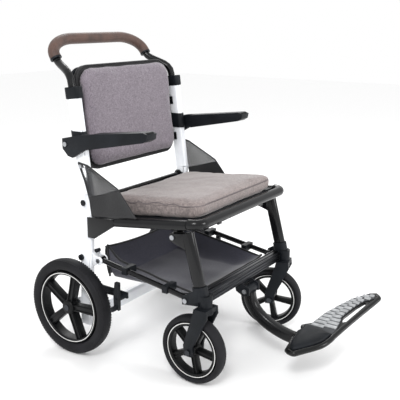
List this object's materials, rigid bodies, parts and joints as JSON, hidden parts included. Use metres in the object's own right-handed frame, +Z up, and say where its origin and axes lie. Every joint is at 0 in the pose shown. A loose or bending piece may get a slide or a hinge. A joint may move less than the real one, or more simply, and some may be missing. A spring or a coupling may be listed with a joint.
{
  "type": "manual wheelchair",
  "caption": "Folding transport wheelchair with small rear wheels, trailing casters, padded seat and back, swing-up armrests, a basket and one central footplate.",
  "frame": {"origin": "centre of the bounding box at floor level, on the tyres' contact plane", "axes": "+Z up, the chair faces -Y, +X is the sitter's left"},
  "size_m": [0.615, 0.922, 0.956],
  "materials": {
    "frame_white": "satin powder coat",
    "frame_black": "satin powder coat",
    "alloy_dark": "dark anodised, brushed along its length",
    "steel": "zinc plated",
    "leather": "matt grained",
    "moulded_black": "fine grained",
    "seat_fabric": "woven melange",
    "black_fabric": "mesh and tape",
    "basket_fabric": "woven",
    "tyre": "matt",
    "footplate_alloy": "dark coated",
    "tread_grey": "matt",
    "nylon": "natural"
  },
  "bodies": {
    "rear_frame": {"uprights": "frame_white", "lower_cross_tube": "frame_white", "upright_caps": "moulded_black", "push_handle": "frame_black", "handle_grip": "leather", "grip_end_rings": "moulded_black", "back_shell": "moulded_black", "back_cushion": "seat_fabric", "back_brackets": "frame_black", "seat_pivot_tube": "frame_black", "pivot_plugs": "moulded_black", "link_brackets": "frame_white", "link_bracket_screws": "steel", "rear_axles": "steel", "brake_mounts": "moulded_black", "arm_sleeves": "moulded_black", "arm_pins": "steel", "basket_hooks": "moulded_black"},
    "brake_right": {"brake_lever_right": "moulded_black"},
    "brake_left": {"brake_lever_left": "moulded_black"},
    "arm_right": {"armrest_right": "moulded_black"},
    "arm_left": {"armrest_left": "moulded_black"},
    "seat_frame": {"seat_rails": "frame_black", "seat_front_tube": "frame_black", "seat_links": "frame_black", "seat_board": "moulded_black", "seat_cushion": "seat_fabric", "leg_brackets": "frame_black", "side_guards": "black_fabric"},
    "front_frame": {"front_legs": "frame_black", "leg_castings": "moulded_black", "stem_bushes": "nylon", "leg_screws": "steel", "front_cross_bar": "alloy_dark", "footrest_clevis": "moulded_black", "footrest_pin": "steel"},
    "lower_frame": {"lower_links": "frame_black", "basket": "basket_fabric", "basket_clips": "moulded_black"},
    "footrest": {"footrest_arm": "frame_black"},
    "footplate": {"footplate_frame": "footplate_alloy", "footplate_pad": "tread_grey", "footplate_hub": "moulded_black", "footplate_pin": "steel"},
    "caster_right": {"caster_fork_right": "moulded_black", "caster_axle_right": "steel"},
    "caster_left": {"caster_fork_left": "moulded_black", "caster_axle_left": "steel"},
    "caster_wheel_right": {"caster_tyre_right": "tyre", "caster_rim_right": "moulded_black", "caster_bearings_right": "steel"},
    "caster_wheel_left": {"caster_tyre_left": "tyre", "caster_rim_left": "moulded_black", "caster_bearings_left": "steel"},
    "rear_wheel_right": {"rear_tyre_right": "tyre", "rear_rim_right": "moulded_black", "rear_bearings_right": "steel"},
    "rear_wheel_left": {"rear_tyre_left": "tyre", "rear_rim_left": "moulded_black", "rear_bearings_left": "steel"}
  },
  "joints": [
    {"name": "seat_fold", "type": "hinge", "parent": "rear_frame", "child": "seat_frame", "pos_m": [0, 0.273, 0.473], "axis": [-1, 0, 0], "range_deg": [0, 55], "deforming": ["side_guards"]},
    {"name": "front_leg_fold", "type": "hinge", "parent": "seat_frame", "child": "front_frame", "pos_m": [0, -0.045, 0.421], "axis": [-1, 0, 0], "range_deg": [-55, 0]},
    {"name": "lower_link_fold", "type": "hinge", "parent": "rear_frame", "child": "lower_frame", "pos_m": [0, 0.229, 0.299], "axis": [-1, 0, 0], "range_deg": [0, 55]},
    {"name": "armrest_lift_right", "type": "hinge", "parent": "rear_frame", "child": "arm_right", "pos_m": [-0.2415, 0.31919, 0.646], "axis": [-1, 0, 0], "range_deg": [0, 40]},
    {"name": "brake_right", "type": "hinge", "parent": "rear_frame", "child": "brake_right", "pos_m": [-0.2855, 0.137, 0.208], "axis": [1, 0, 0], "range_deg": [0, 22]},
    {"name": "caster_swivel_right", "type": "hinge", "parent": "front_frame", "child": "caster_right", "pos_m": [-0.2325, -0.145, 0.235], "axis": [0, 0, 1], "continuous": true},
    {"name": "caster_roll_right", "type": "hinge", "parent": "caster_right", "child": "caster_wheel_right", "pos_m": [-0.2325, -0.1056, 0.101], "axis": [1, 0, 0], "continuous": true},
    {"name": "rear_wheel_roll_right", "type": "hinge", "parent": "rear_frame", "child": "rear_wheel_right", "pos_m": [-0.2855, 0.311, 0.15], "axis": [1, 0, 0], "continuous": true},
    {"name": "armrest_lift_left", "type": "hinge", "parent": "rear_frame", "child": "arm_left", "pos_m": [0.2415, 0.31919, 0.646], "axis": [-1, 0, 0], "range_deg": [0, 40]},
    {"name": "brake_left", "type": "hinge", "parent": "rear_frame", "child": "brake_left", "pos_m": [0.2855, 0.137, 0.208], "axis": [1, 0, 0], "range_deg": [0, 22]},
    {"name": "caster_swivel_left", "type": "hinge", "parent": "front_frame", "child": "caster_left", "pos_m": [0.2325, -0.145, 0.235], "axis": [0, 0, 1], "continuous": true},
    {"name": "caster_roll_left", "type": "hinge", "parent": "caster_left", "child": "caster_wheel_left", "pos_m": [0.22164, -0.10713, 0.101], "axis": [0.9613, 0.2756, 0], "continuous": true},
    {"name": "rear_wheel_roll_left", "type": "hinge", "parent": "rear_frame", "child": "rear_wheel_left", "pos_m": [0.2855, 0.311, 0.15], "axis": [1, 0, 0], "continuous": true},
    {"name": "footrest_swing", "type": "hinge", "parent": "front_frame", "child": "footrest", "pos_m": [0, -0.151, 0.214], "axis": [-1, 0, 0], "range_deg": [0, 60]},
    {"name": "footplate_flip", "type": "hinge", "parent": "footrest", "child": "footplate", "pos_m": [0, -0.314, 0.108], "axis": [-1, 0, 0], "range_deg": [0, 85]}
  ],
  "couplings": [
    {"joint": "front_leg_fold", "follows": "seat_fold", "ratio": -1},
    {"joint": "lower_link_fold", "follows": "seat_fold", "ratio": 1},
    {"joint": "armrest_lift_right", "follows": "seat_fold", "ratio": 0.7},
    {"joint": "armrest_lift_left", "follows": "seat_fold", "ratio": 0.7}
  ]
}
